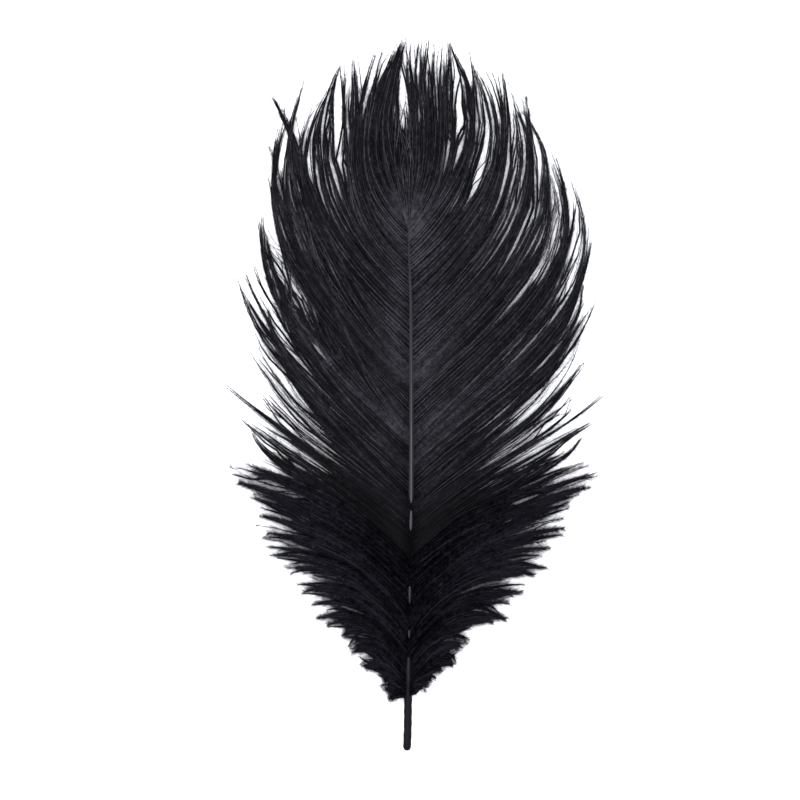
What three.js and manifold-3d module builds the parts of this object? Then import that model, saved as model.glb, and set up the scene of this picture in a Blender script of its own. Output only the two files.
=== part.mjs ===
// A black ostrich plume lying flat, front side up. Millimetres.
//
// The feather's own axes: x is measured sideways from the shaft's centre line, y ("along") runs from the
// quill's cut end to the tip, and z is up. The whole group is then moved so that its origin is the middle of
// the space it takes up, on the surface that it lies on.

import * as THREE from 'three';
import Module from 'manifold-3d';

const wasm = await Module();
wasm.setup();

// ---------------------------------------------------------------- driving dimensions

const FEATHER_MIDDLE = { side: 2.4, along: 142 };

// Shaft: how far it leans sideways, how high its middle lies and how thick it is, by distance from the
// cut end.
const SHAFT = [
  { along: 0, side: -1.6, height: 1.6, radius: 1.15 },
  { along: 0.6, side: -1.6, height: 1.6, radius: 1.6 },
  { along: 10, side: -1.3, height: 1.6, radius: 1.6 },
  { along: 20, side: -1.2, height: 1.6, radius: 1.6 },
  { along: 32, side: -1.1, height: 2.2, radius: 1.5 },
  { along: 48, side: -0.7, height: 3.2, radius: 1.35 },
  { along: 70, side: -0.5, height: 4.3, radius: 1.15 },
  { along: 95, side: 0, height: 5.1, radius: 0.95 },
  { along: 120, side: 0.1, height: 5.4, radius: 0.8 },
  { along: 150, side: 0.1, height: 5.2, radius: 0.6 },
  { along: 180, side: -0.1, height: 4.6, radius: 0.45 },
  { along: 200, side: -0.8, height: 4.0, radius: 0.35 },
  { along: 215, side: -1.3, height: 3.6, radius: 0.25 },
];
const SHAFT_SIDES = 12;

// Space between the shaft and the pieces that grow from it.
const GAP = 0.4;
// How far a lock's root is set into the web.
const ROOT_DEPTH = 0.3;

// The inner web of a vane or of the down: a thin strip beside the shaft in which all the roots merge.
const VANE_WEB = { from: 86, to: 212, reach: 9, thickness: 1.4, edge: 0.6, lift: -0.3 };
const DOWN_WEB = { from: 22, to: 83.4, reach: 7, thickness: 2.2, edge: 1, lift: 0.6 };
const WEB_STEP = 12;
// A web is this share of its full reach at its two ends.
const WEB_END_SHARE = 0.35;

// Locks: where each leaves the shaft (root), how far its tip lies from the shaft (out) and from the cut end
// (along), and its direction at the root (leave) and at the tip (lean), in degrees outward from the shaft.
// The two topmost ones stand aside from the shaft's line by a stated distance, and some state their own
// width.
const LEFT_VANE_LOCKS = [
  { root: 213.5, out: 0.6, along: 282.5, leave: 26, lean: -8, aside: 1.8, width: 4.2 },
  { root: 211, out: 2, along: 283.5, leave: 48, lean: -18, width: 6 },
  { root: 201.5, out: 12, along: 278, leave: 50, lean: -17, width: 6.5 },
  { root: 193, out: 20.5, along: 276, leave: 50, lean: -2, width: 6.5 },
  { root: 185, out: 26.5, along: 273.5, leave: 50, lean: 6, width: 6.5 },
  { root: 177, out: 28, along: 269, leave: 50, lean: -20, width: 6.5 },
  { root: 168, out: 31, along: 264.5, leave: 50, lean: -30, width: 7 },
  { root: 160, out: 56, along: 263, leave: 50, lean: 34, width: 6.5 },
  { root: 151, out: 42, along: 263.5, leave: 50, lean: -20, width: 9.5 },
  { root: 142, out: 50.5, along: 248.5, leave: 52, lean: -14, width: 11.5 },
  { root: 131, out: 60, along: 213.5, leave: 53, lean: 2, width: 11 },
  { root: 124, out: 64, along: 186.5, leave: 54, lean: 22 },
  { root: 117.5, out: 69, along: 189, leave: 55, lean: 14 },
  { root: 105.5, out: 64, along: 158, leave: 55, lean: 32, width: 11 },
  { root: 99, out: 72, along: 144.5, leave: 55, lean: 52 },
  { root: 93.5, out: 67, along: 132.5, leave: 56, lean: 56 },
  { root: 88, out: 63, along: 125.5, leave: 56, lean: 32 },
];
const RIGHT_VANE_LOCKS = [
  { root: 213.5, out: 2.2, along: 283, leave: 14, lean: -2, aside: 1.8, width: 4.2 },
  { root: 211.5, out: 6.5, along: 283.5, leave: 30, lean: 2, width: 4.5 },
  { root: 209, out: 10, along: 283, leave: 36, lean: -2, width: 5 },
  { root: 205.5, out: 14, along: 281.5, leave: 42, lean: -2, width: 5.5 },
  { root: 201, out: 17.5, along: 279.5, leave: 46, lean: -10, width: 6 },
  { root: 195, out: 26, along: 277, leave: 48, lean: -8, width: 6.5 },
  { root: 185.5, out: 30.5, along: 271.5, leave: 50, lean: -18, width: 7.5 },
  { root: 177, out: 38, along: 269.5, leave: 50, lean: -6, width: 7.5 },
  { root: 166.5, out: 42, along: 263.5, leave: 50, lean: -18, width: 9.5 },
  { root: 153.5, out: 48, along: 253, leave: 50, lean: -28, width: 12 },
  { root: 139, out: 59, along: 235, leave: 52, lean: -16, width: 12 },
  { root: 129, out: 66.5, along: 225.5, leave: 53, lean: -20, width: 10 },
  { root: 120, out: 72, along: 201, leave: 54, lean: 10 },
  { root: 113, out: 74, along: 182.5, leave: 55, lean: 16 },
  { root: 105, out: 69, along: 155.5, leave: 55, lean: 36 },
  { root: 99, out: 77, along: 141.5, leave: 56, lean: 54 },
  { root: 93.5, out: 72.5, along: 131, leave: 57, lean: 60 },
  { root: 88, out: 68, along: 125, leave: 57, lean: 32 },
];
// The down is the same on both sides, but for a slightly wider and lower sweep of its top locks on the right.
const DOWN_LOCKS = [
  { root: 82, out: 71, along: 113, leave: 40, lean: 76 },
  { root: 77.5, out: 70.5, along: 107, leave: 38, lean: 76 },
  { root: 73, out: 65.5, along: 103.5, leave: 36, lean: 74 },
  { root: 68.5, out: 64, along: 100.5, leave: 35, lean: 70 },
  { root: 64, out: 62, along: 97, leave: 34, lean: 72 },
  { root: 60, out: 59.5, along: 91.5, leave: 33, lean: 82 },
  { root: 56, out: 58, along: 86, leave: 32, lean: 86 },
  { root: 52, out: 55, along: 79.5, leave: 32, lean: 92 },
  { root: 48, out: 50.5, along: 73.5, leave: 32, lean: 96 },
  { root: 44, out: 44.5, along: 67, leave: 32, lean: 98 },
  { root: 41, out: 42, along: 63, leave: 34, lean: 100 },
  { root: 37.5, out: 38.5, along: 57.5, leave: 34, lean: 106 },
  { root: 34, out: 35, along: 52, leave: 36, lean: 114 },
  { root: 31, out: 25.5, along: 44.5, leave: 40, lean: 108 },
  { root: 28, out: 21, along: 39, leave: 45, lean: 114 },
  { root: 26, out: 16, along: 32.5, leave: 50, lean: 120 },
  { root: 24.5, out: 10.5, along: 27, leave: 60, lean: 130 },
  { root: 23.5, out: 6.5, along: 21.5, leave: 80, lean: 145 },
];
const RIGHT_DOWN = { wider: 2, lower: 1.6, from: 82 };

// How a lock's curve, width, thickness and height run from its root (t = 0) to its tip (t = 1).
const STATIONS = [0, 0.12, 0.3, 0.5, 0.7, 0.87, 1];
const WIDTH_SHARE = [0.65, 1, 1.08, 1, 0.72, 0.38, 0.08];
const VANE_LOCK = { width: 9, thickness: 1.2, bow: [0.42, 0.42], arch: 0.8, lift: -0.3, layer: 0.5 };
const DOWN_LOCK = { width: 5.6, thickness: 2, bow: [0.36, 0.42], arch: 4, lift: 0.6, layer: 0.3 };
const TIP_THICKNESS_SHARE = 0.4;
// A lock sinks from its root's height to its tip's as this power of t.
const SINK_POWER = 1.5;

const HORN = { color: 0x2b2a2d, roughness: 0.45 };
const BARBS = { color: 0x222226, roughness: 0.6 };
const DOWN = { color: 0x141417, roughness: 0.75 };

// ---------------------------------------------------------------- helpers

const UP = new THREE.Vector3(0, 0, 1);

// The shaft's side, height and radius at one distance along it, straight between the listed ones.
function shaftAt(along) {
  const last = SHAFT.length - 1;
  const clamped = THREE.MathUtils.clamp(along, SHAFT[0].along, SHAFT[last].along);
  const index = Math.min(SHAFT.findIndex((row) => row.along >= clamped), last);
  const after = SHAFT[Math.max(index, 1)];
  const before = SHAFT[Math.max(index, 1) - 1];
  const share = (clamped - before.along) / (after.along - before.along);
  return {
    side: THREE.MathUtils.lerp(before.side, after.side, share),
    height: THREE.MathUtils.lerp(before.height, after.height, share),
    radius: THREE.MathUtils.lerp(before.radius, after.radius, share),
  };
}

// A closed body through rings with the same number of points, each turning right-handed about the way
// forward.
function loft(rings) {
  const count = rings[0].length;
  const last = (rings.length - 1) * count;
  const index = [];
  for (let start = 0; start < last; start += count) {
    for (let side = 0; side < count; side += 1) {
      const a = start + side;
      const b = start + ((side + 1) % count);
      index.push(a, b, b + count, a, b + count, a + count);
    }
  }
  for (let side = 1; side < count - 1; side += 1) {
    index.push(0, side + 1, side);
    index.push(last, last + side, last + side + 1);
  }
  return new THREE.BufferGeometry().setFromPoints(rings.flat()).setIndex(index);
}

// A diamond section: half a width to each side of the middle, half a thickness above and below it.
function diamond(middle, across, width, thickness) {
  const sideways = across.clone().multiplyScalar(width / 2);
  const upward = UP.clone().multiplyScalar(thickness / 2);
  return [
    middle.clone().add(sideways),
    middle.clone().add(upward),
    middle.clone().sub(sideways),
    middle.clone().sub(upward),
  ];
}

// A direction in the feather's plane, in degrees outward from the shaft, on one side (-1 left, 1 right).
function heading(side, degrees) {
  const angle = THREE.MathUtils.degToRad(degrees);
  return new THREE.Vector3(side * Math.sin(angle), Math.cos(angle), 0);
}

function toSolid(geometry) {
  const vertProperties = geometry.getAttribute('position').array;
  const triVerts = Uint32Array.from(geometry.getIndex().array);
  return new wasm.Manifold(new wasm.Mesh({ numProp: 3, vertProperties, triVerts }));
}

function toGeometry(solid) {
  const mesh = solid.getMesh();
  const geometry = new THREE.BufferGeometry();
  geometry.setAttribute('position', new THREE.BufferAttribute(Float32Array.from(mesh.vertProperties), 3));
  geometry.setIndex(new THREE.BufferAttribute(Uint32Array.from(mesh.triVerts), 1));
  return geometry;
}

// ---------------------------------------------------------------- pieces

// The shaft is a twelve-sided tapering rod. A flat facet faces down, on which the bare quill rests.
function shaftGeometry() {
  const rings = SHAFT.map(({ along, side, height, radius }) => {
    const corner = radius / Math.cos(Math.PI / SHAFT_SIDES);
    return Array.from({ length: SHAFT_SIDES }, (_, index) => {
      const angle = (-(index + 0.5) * 2 * Math.PI) / SHAFT_SIDES;
      return new THREE.Vector3(side + corner * Math.cos(angle), along, height + corner * Math.sin(angle));
    });
  });
  return loft(rings);
}

// The web runs beside the shaft at its height, thick where it leaves it and thin at its outer edge.
function webGeometry(side, web) {
  const steps = Math.ceil((web.to - web.from) / WEB_STEP);
  const rings = Array.from({ length: steps + 1 }, (_, index) => {
    const share = index / steps;
    const along = THREE.MathUtils.lerp(web.from, web.to, share);
    const shaft = shaftAt(along);
    const height = shaft.height + web.lift;
    const inner = shaft.side + side * (shaft.radius + GAP);
    const fullness = THREE.MathUtils.lerp(WEB_END_SHARE, 1, Math.sin(Math.PI * share));
    const outer = inner + side * web.reach * fullness;
    const ring = [
      new THREE.Vector3(inner, along, height + web.thickness / 2),
      new THREE.Vector3(outer, along, height + web.edge / 2),
      new THREE.Vector3(outer, along, height - web.edge / 2),
      new THREE.Vector3(inner, along, height - web.thickness / 2),
    ];
    return side > 0 ? ring : ring.reverse();
  });
  return loft(rings);
}

// A lock is a flat blade along a cubic curve from the shaft to its tip. At its root its edge lies along the
// shaft, and further out it lies across the blade. It arches, then comes down to the surface.
function lockGeometry(side, lock, form, index) {
  const shaft = shaftAt(lock.root);
  const rootSide = shaft.side + side * (lock.aside ?? shaft.radius + GAP + ROOT_DEPTH);
  const root = new THREE.Vector3(rootSide, lock.root, 0);
  const tip = new THREE.Vector3(shaftAt(lock.along).side + side * lock.out, lock.along, 0);
  const reach = root.distanceTo(tip);
  const curve = new THREE.CubicBezierCurve3(
    root,
    root.clone().addScaledVector(heading(side, lock.leave), form.bow[0] * reach),
    tip.clone().addScaledVector(heading(side, lock.lean), -form.bow[1] * reach),
    tip,
  );
  const rootHeight = shaft.height + form.lift;
  const tipHeight = (form.thickness * TIP_THICKNESS_SHARE) / 2 + (index % 2) * form.layer;
  const rings = STATIONS.map((t, station) => {
    const across = UP.clone().cross(curve.getTangent(t)).normalize();
    if (station === 0 && lock.aside === undefined) {
      across.set(0, side, 0);
    }
    const middle = curve.getPoint(t);
    const hump = 4 * t * (1 - t) * (form.arch + (index % 2) * form.layer);
    middle.z = THREE.MathUtils.lerp(rootHeight, tipHeight, t ** SINK_POWER) + hump;
    const thickness = form.thickness * THREE.MathUtils.lerp(1, TIP_THICKNESS_SHARE, t);
    return diamond(middle, across, (lock.width ?? form.width) * WIDTH_SHARE[station], thickness);
  });
  return loft(rings);
}

// One side's web and locks, fused into one body.
function fusedSide(side, web, locks, form) {
  const blades = locks.map((lock, index) => toSolid(lockGeometry(side, lock, form, index)));
  return toGeometry(blades.reduce((body, blade) => body.add(blade), toSolid(webGeometry(side, web))));
}

// The right side's down: its upper locks sweep a little wider and lower, in step with their root's height.
function rightDownLocks() {
  return DOWN_LOCKS.map((lock) => {
    const share = lock.root / RIGHT_DOWN.from;
    const out = lock.out + RIGHT_DOWN.wider * share;
    return { ...lock, out, along: lock.along - RIGHT_DOWN.lower * share };
  });
}

// ---------------------------------------------------------------- the feather

function piece(name, geometry, finish) {
  const mesh = new THREE.Mesh(geometry, new THREE.MeshStandardMaterial({ ...finish, metalness: 0 }));
  mesh.name = name;
  return mesh;
}

const feather = new THREE.Group();
feather.position.set(-FEATHER_MIDDLE.side, -FEATHER_MIDDLE.along, 0);
feather.add(
  piece('shaft', shaftGeometry(), HORN),
  piece('left_vane', fusedSide(-1, VANE_WEB, LEFT_VANE_LOCKS, VANE_LOCK), BARBS),
  piece('right_vane', fusedSide(1, VANE_WEB, RIGHT_VANE_LOCKS, VANE_LOCK), BARBS),
  piece('left_down', fusedSide(-1, DOWN_WEB, DOWN_LOCKS, DOWN_LOCK), DOWN),
  piece('right_down', fusedSide(1, DOWN_WEB, rightDownLocks(), DOWN_LOCK), DOWN),
);

export default feather;
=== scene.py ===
"""A black ostrich plume lying flat, front side up, made of its shaft, barbs and barbules.

The plume has its own axes, in millimetres: "side" is measured from the straight axis beside the shaft (left
is negative), "along" runs from the quill's cut end to the plume's tip, and z is up. to_frame turns them into
the frame's metres.

Each barb is a slender closed ribbon. A few dozen strand curves on each side make a fan, and each barb drifts
slowly off its own place in the fan until its tip, where it is drawn towards the strand nearest to it.
Partings push barbs aside, and thinnings make them narrow. Barbules are slender closed spikes along both edges
of the barbs, and wisps are single long hairs that leave their barb.
"""

import logging
import math
from dataclasses import dataclass, field, replace
from enum import Enum

import bpy
import numpy as np
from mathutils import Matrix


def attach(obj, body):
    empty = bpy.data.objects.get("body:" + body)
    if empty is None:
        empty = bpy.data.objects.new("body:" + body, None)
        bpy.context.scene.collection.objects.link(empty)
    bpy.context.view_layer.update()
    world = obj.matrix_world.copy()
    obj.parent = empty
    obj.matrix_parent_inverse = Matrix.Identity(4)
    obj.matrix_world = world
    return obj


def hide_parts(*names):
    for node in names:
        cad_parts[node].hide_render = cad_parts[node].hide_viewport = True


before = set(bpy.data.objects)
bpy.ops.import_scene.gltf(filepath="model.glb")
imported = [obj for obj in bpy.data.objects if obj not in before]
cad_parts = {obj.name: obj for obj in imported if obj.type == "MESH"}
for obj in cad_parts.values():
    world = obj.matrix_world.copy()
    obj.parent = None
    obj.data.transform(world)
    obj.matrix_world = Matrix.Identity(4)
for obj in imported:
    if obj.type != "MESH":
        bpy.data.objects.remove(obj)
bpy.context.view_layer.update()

LOG = logging.getLogger("ostrich_plume")
MM = 0.001

# The least heights above the surface that the plume lies on, in millimetres: of any point of a barb, and of
# a barb's middle.
LOWEST_POINT = 0.02
LOWEST_MIDDLE = 0.15
# How far ahead and behind a barb's direction is measured, as a share of its length.
HEADING_STEP = 0.004
# Half the square root of three, for the corners of a three-sided section.
HALF_ROOT_THREE = 0.87
# How far apart the starts of two neighbouring barbs lie along u in the UV map.
U_PER_BARB = 3.0
# One barb in three is a narrow stripe, and the strands lie in three layers.
STRIPE_EVERY = 3
LAYERS = 3
# How finely the fan is sampled for its spacing, and a barb for the density of its barbules.
FAN_SAMPLES = 40
BARBULE_CELLS = 24
# Even draws raised to this power come out low more often than high.
LOW_DRAW_POWER = 1.3
# A thinning is full in this share of its spread, and eases in and out over this share of its length.
THINNING_CORE = 0.6
THINNING_EASE = 0.3
# Keeps a draw inside the last cell.
JUST_UNDER_ONE = 0.999999
# The waves that crowd and spread barbs: turns over the place in the fan and over the way out.
FAN_WAVES = ((5.3, 6.0), (8.1, -9.0), (12.7, 14.0))


# ------------------------------------------------------------------------------------------- plume space


@dataclass(frozen=True)
class PlumeSpace:
    """Where the plume's own axes lie in the frame, in millimetres."""

    middle_side: float = 2.4
    middle_along: float = 142.0

    def to_frame(self, points: np.ndarray) -> np.ndarray:
        """Move points (side, along, z) in millimetres to the frame's metres.

        Args:
            points: An array of shape (n, 3).

        Returns:
            The points in the frame, in metres, with the same shape.
        """
        return (points - np.array([self.middle_side, self.middle_along, 0.0])) * MM


SPACE = PlumeSpace()


class Side(Enum):
    """A side of the shaft, seen from the front with the quill down."""

    LEFT = -1.0
    RIGHT = 1.0


@dataclass(frozen=True)
class ShaftLine:
    """The shaft's course: how far it leans sideways, how high its middle lies and its radius, along it."""

    along: tuple[float, ...] = (0, 0.6, 10, 20, 32, 48, 70, 95, 120, 150, 180, 200, 215)
    side: tuple[float, ...] = (-1.6, -1.6, -1.3, -1.2, -1.1, -0.7, -0.5, 0, 0.1, 0.1, -0.1, -0.8, -1.3)
    height: tuple[float, ...] = (1.6, 1.6, 1.6, 1.6, 2.2, 3.2, 4.3, 5.1, 5.4, 5.2, 4.6, 4.0, 3.6)
    radius: tuple[float, ...] = (1.15, 1.6, 1.6, 1.6, 1.5, 1.35, 1.2, 1.1, 1.0, 0.9, 0.7, 0.5, 0.25)

    def side_at(self, along: np.ndarray) -> np.ndarray:
        """Give the shaft's sideways place, straight between the listed stations."""
        return np.interp(along, self.along, self.side)

    def height_at(self, along: np.ndarray) -> np.ndarray:
        """Give the height of the shaft's middle, straight between the listed stations."""
        return np.interp(along, self.along, self.height)

    def radius_at(self, along: np.ndarray) -> np.ndarray:
        """Give the shaft's radius, straight between the listed stations."""
        return np.interp(along, self.along, self.radius)


LINE = ShaftLine()


# ------------------------------------------------------------------------------------------- mesh helpers


@dataclass
class Surface:
    """Points with a place in the UV map each, and the faces between them."""

    points: np.ndarray
    uv: np.ndarray
    quads: np.ndarray
    triangles: np.ndarray
    smooth: bool = True

    @staticmethod
    def joined(parts: list["Surface"]) -> tuple[np.ndarray, np.ndarray, np.ndarray, np.ndarray, np.ndarray]:
        """Put several surfaces after each other in shared arrays.

        Args:
            parts: The surfaces, each with its own vertex numbers from zero.

        Returns:
            Points, UVs, the vertex of each face corner, the first corner of each face and whether it is
            smooth.
        """
        points, uv, corners, sizes, smooth = [], [], [], [], []
        offset = 0
        for part in parts:
            points.append(part.points)
            uv.append(part.uv)
            for faces, size in ((part.quads, 4), (part.triangles, 3)):
                corners.append((faces + offset).ravel())
                sizes.append(np.full(len(faces), size))
                smooth.append(np.full(len(faces), part.smooth))
            offset += len(part.points)
        counts = np.concatenate(sizes)
        starts = np.concatenate([[0], np.cumsum(counts)[:-1]])
        return (
            np.concatenate(points),
            np.concatenate(uv),
            np.concatenate(corners),
            starts,
            np.concatenate(smooth),
        )


def make_piece(name: str, parts: list[Surface], material: bpy.types.Material) -> bpy.types.Object:
    """Make one mesh object at the origin out of surfaces given in plume space.

    Args:
        name: The object's name.
        parts: The surfaces that it is made of.
        material: The finish of the whole piece.

    Returns:
        The new object, linked to the scene.
    """
    points, uv, corners, starts, smooth = Surface.joined(parts)
    mesh = bpy.data.meshes.new(name)
    mesh.vertices.add(len(points))
    mesh.vertices.foreach_set("co", SPACE.to_frame(points).astype(np.float32).ravel())
    mesh.loops.add(len(corners))
    mesh.loops.foreach_set("vertex_index", corners.astype(np.int32))
    mesh.polygons.add(len(starts))
    mesh.polygons.foreach_set("loop_start", starts.astype(np.int32))
    mesh.polygons.foreach_set("use_smooth", smooth)
    layer = mesh.uv_layers.new(name="fibre")
    layer.data.foreach_set("uv", uv[corners].astype(np.float32).ravel())
    mesh.update(calc_edges=True)
    mesh.materials.append(material)
    piece = bpy.data.objects.new(name, mesh)
    bpy.context.scene.collection.objects.link(piece)
    return piece


def smoothstep(low: float, high: float, value: np.ndarray) -> np.ndarray:
    """Rise from 0 at low to 1 at high with level ends, as 3x squared less 2x cubed."""
    share = np.clip((value - low) / (high - low), 0.0, 1.0)
    return share * share * (3.0 - 2.0 * share)


def unit(vectors: np.ndarray) -> np.ndarray:
    """Scale each row to length one."""
    return vectors / np.maximum(np.linalg.norm(vectors, axis=1, keepdims=True), 1e-9)


def tube_faces(tubes: int, rings: int, sides: int) -> tuple[np.ndarray, np.ndarray]:
    """Number the faces of closed tubes whose vertices are laid out tube by tube, ring by ring.

    Between two rings, point k joins point k + 1 and the same two points of the next ring. The first and
    last ring are each closed by a fan of triangles.

    Args:
        tubes: How many tubes there are.
        rings: How many rings each has.
        sides: How many points each ring has.

    Returns:
        The quads between the rings and the triangles of the end caps.
    """
    ring, side = np.meshgrid(np.arange(rings - 1), np.arange(sides), indexing="ij")
    here = ring * sides + side
    beside = ring * sides + (side + 1) % sides
    quads = np.stack([here, beside, beside + sides, here + sides], axis=-1).reshape(-1, 4)
    fan = np.arange(1, sides - 1)
    last = (rings - 1) * sides
    first_cap = np.stack([np.zeros_like(fan), fan + 1, fan], axis=-1)
    last_cap = np.stack([np.full_like(fan, last), last + fan, last + fan + 1], axis=-1)
    caps = np.concatenate([first_cap, last_cap])
    shift = (np.arange(tubes) * rings * sides)[:, None, None]
    return (quads[None] + shift).reshape(-1, 4), (caps[None] + shift).reshape(-1, 3)


# ------------------------------------------------------------------------------------------- finishes


class Nodes:
    """A material's node tree, with short calls to add and join nodes."""

    def __init__(self, name: str) -> None:
        """Start a material with its surface shader and output.

        Args:
            name: The material's name.
        """
        self.material = bpy.data.materials.new(name)
        self.material.use_nodes = True
        self.tree = self.material.node_tree
        self.shader = self.tree.nodes["Principled BSDF"]

    def add(self, kind: str, **values: object) -> bpy.types.Node:
        """Add a node and set its properties or its input sockets by name.

        Args:
            kind: The node's type.
            **values: Properties, or inputs with underscores for the spaces in their names.

        Returns:
            The new node.
        """
        node = self.tree.nodes.new(kind)
        for key, value in values.items():
            socket = node.inputs.get(key.replace("_", " "))
            if socket is not None:
                socket.default_value = value
            else:
                setattr(node, key, value)
        return node

    def join(self, output: bpy.types.NodeSocket, target: bpy.types.NodeSocket) -> None:
        """Link an output socket to an input socket."""
        self.tree.links.new(output, target)

    def ramp(
        self, value: bpy.types.NodeSocket, stops: list[tuple[float, tuple[float, ...]]]
    ) -> bpy.types.NodeSocket:
        """Add a colour ramp.

        Args:
            value: The socket that drives it.
            stops: Places from 0 to 1 with their colours.

        Returns:
            The ramp's colour output.
        """
        node = self.add("ShaderNodeValToRGB")
        elements = node.color_ramp.elements
        while len(elements) < len(stops):
            elements.new(0.5)
        for element, (place, colour) in zip(elements, stops):
            element.position = place
            element.color = (*colour, 1.0)
        self.join(value, node.inputs["Fac"])
        return node.outputs["Color"]


@dataclass(frozen=True)
class BarbFinish:
    """Dyed barbs: near black, faintly blue, with lighter and darker barbs and a fine grain across them.

    The lighter and darker barbs are partly random tone and partly painted highlight and shade.
    """

    name: str
    dark: tuple[float, float, float]
    light: tuple[float, float, float]
    roughness: tuple[float, float] = (0.42, 0.62)
    specular: float = 0.3
    sheen: float = 0.0
    patch_scale: float = 90.0
    streak_scale: float = 14.0
    fuzz_scale: float = 800.0
    grain_scale: float = 260.0
    grain_depth: float = 0.00004

    def material(self) -> bpy.types.Material:
        """Build the node material.

        The UV map's v is a tone from 0 to 1, and u runs along the barb from a start of its own. The colour
        is the tone, made stronger and weaker by soft patches and fine fuzz in space and by streaks along
        each barb; the grain is noise drawn out across u.

        Returns:
            The material.
        """
        nodes = Nodes(self.name)
        uv = nodes.add("ShaderNodeUVMap", uv_map="fibre")
        split = nodes.add("ShaderNodeSeparateXYZ")
        nodes.join(uv.outputs["UV"], split.inputs["Vector"])
        place = nodes.add("ShaderNodeTexCoord")
        patches = nodes.add("ShaderNodeTexNoise", Scale=self.patch_scale, Detail=5.0, Roughness=0.75)
        nodes.join(place.outputs["Object"], patches.inputs["Vector"])
        along = nodes.add("ShaderNodeMapping", Scale=(self.streak_scale, 0.0, 0.0))
        nodes.join(uv.outputs["UV"], along.inputs["Vector"])
        streaks = nodes.add("ShaderNodeTexNoise", Scale=1.0, Detail=2.0)
        nodes.join(along.outputs["Vector"], streaks.inputs["Vector"])
        fuzz = nodes.add("ShaderNodeTexNoise", Scale=self.fuzz_scale, Detail=1.0)
        nodes.join(place.outputs["Object"], fuzz.inputs["Vector"])
        tone = split.outputs["Y"]
        for noise in (patches, streaks, fuzz):
            swing = nodes.add("ShaderNodeMapRange", From_Min=0.3, From_Max=0.7, To_Min=0.5, To_Max=1.5)
            nodes.join(noise.outputs["Fac"], swing.inputs["Value"])
            product = nodes.add("ShaderNodeMath", operation="MULTIPLY")
            nodes.join(tone, product.inputs[0])
            nodes.join(swing.outputs["Result"], product.inputs[1])
            tone = product.outputs["Value"]
        colour = nodes.ramp(tone, [(0.05, self.dark), (1.0, self.light)])
        nodes.join(colour, nodes.shader.inputs["Base Color"])
        gloss = nodes.add("ShaderNodeMapRange", To_Min=self.roughness[0], To_Max=self.roughness[1])
        nodes.join(patches.outputs["Fac"], gloss.inputs["Value"])
        nodes.join(gloss.outputs["Result"], nodes.shader.inputs["Roughness"])
        stretch = nodes.add("ShaderNodeMapping", Scale=(self.grain_scale, 6.0, 1.0))
        nodes.join(uv.outputs["UV"], stretch.inputs["Vector"])
        grain = nodes.add("ShaderNodeTexNoise", Scale=1.0, Detail=2.0)
        nodes.join(stretch.outputs["Vector"], grain.inputs["Vector"])
        bump = nodes.add("ShaderNodeBump", Strength=0.6, Distance=self.grain_depth)
        nodes.join(grain.outputs["Fac"], bump.inputs["Height"])
        nodes.join(bump.outputs["Normal"], nodes.shader.inputs["Normal"])
        nodes.shader.inputs["Specular IOR Level"].default_value = self.specular
        nodes.shader.inputs["Sheen Weight"].default_value = self.sheen
        return nodes.material


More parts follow.
